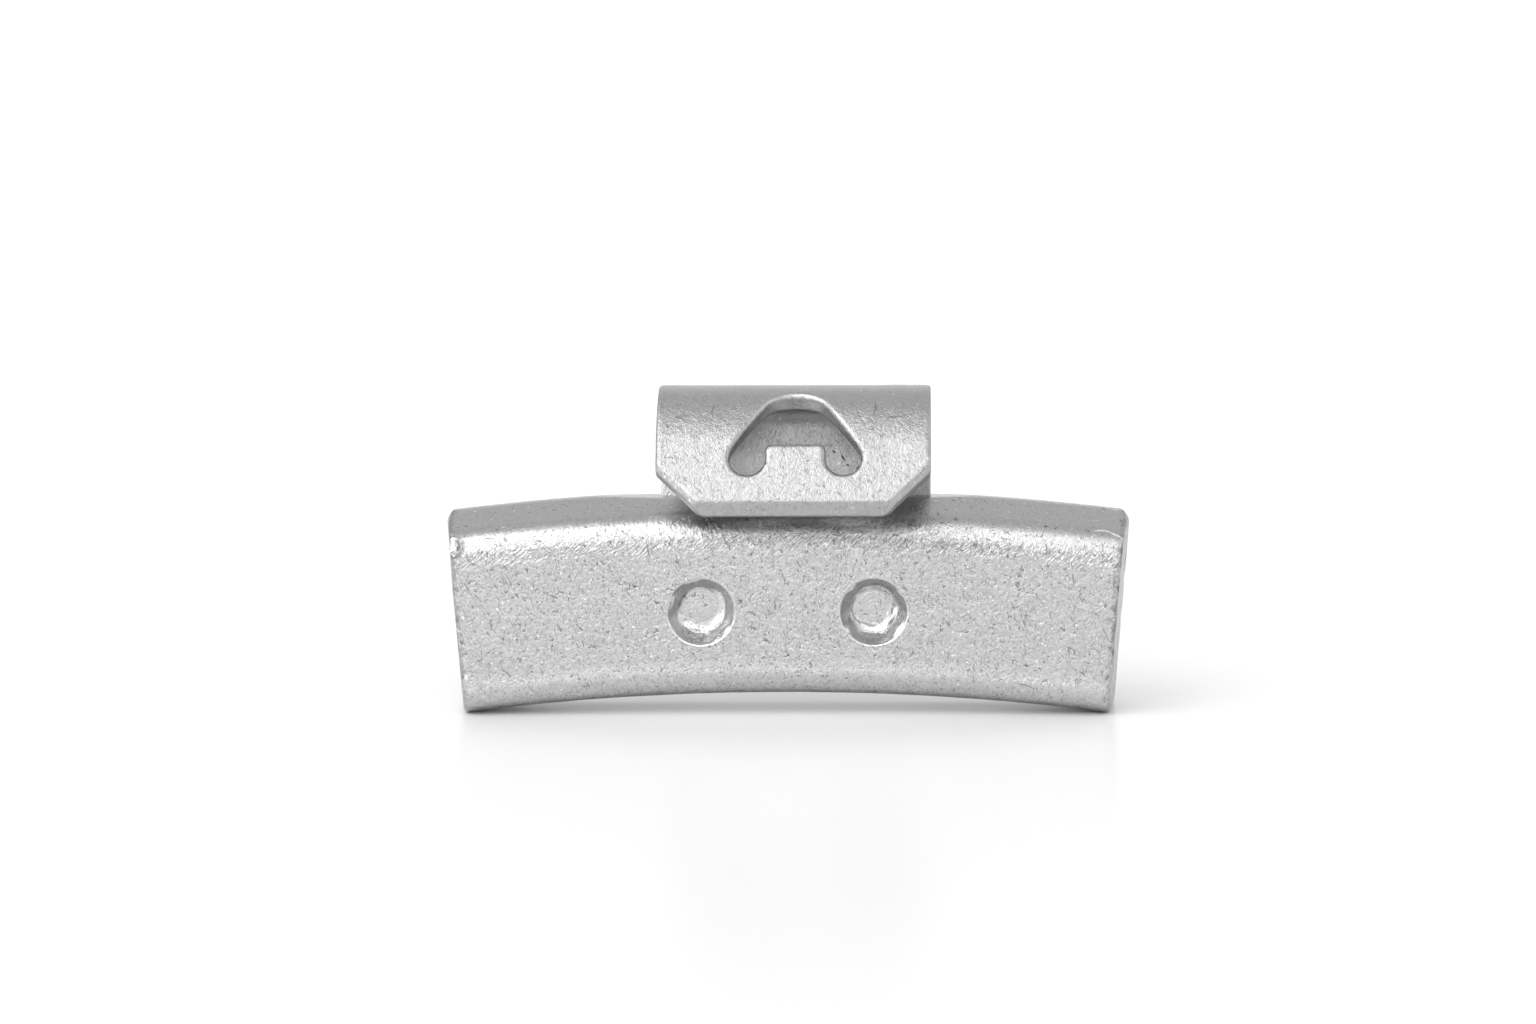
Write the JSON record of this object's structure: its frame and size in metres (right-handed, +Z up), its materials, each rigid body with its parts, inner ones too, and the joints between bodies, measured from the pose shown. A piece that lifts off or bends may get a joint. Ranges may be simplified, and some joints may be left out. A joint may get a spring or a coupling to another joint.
{
  "type": "wheel balance weight",
  "caption": "Curved metal bar with a bent spring clip standing on its crest; the clip hooks over a wheel rim's flange and holds the bar against it to balance the wheel.",
  "frame": {"origin": "on the floor under the middle of the whole piece's box; the piece stands on the lower corners of its two ends", "axes": "+X along the weight, -Y out of the face that lies against the rim (the side of the clip's lip), +Z up, away from the wheel's axis, to the clip's hook"},
  "size_m": [0.051, 0.011, 0.0242],
  "materials": {
    "silver_coating": "silver coating, satin, wrinkled like fine orange peel",
    "coated_spring_steel": "silver coating, satin, smoother than on the casting"
  },
  "bodies": {
    "root": {"weight_body": "silver_coating", "spring_clip": "coated_spring_steel"}
  },
  "joints": []
}
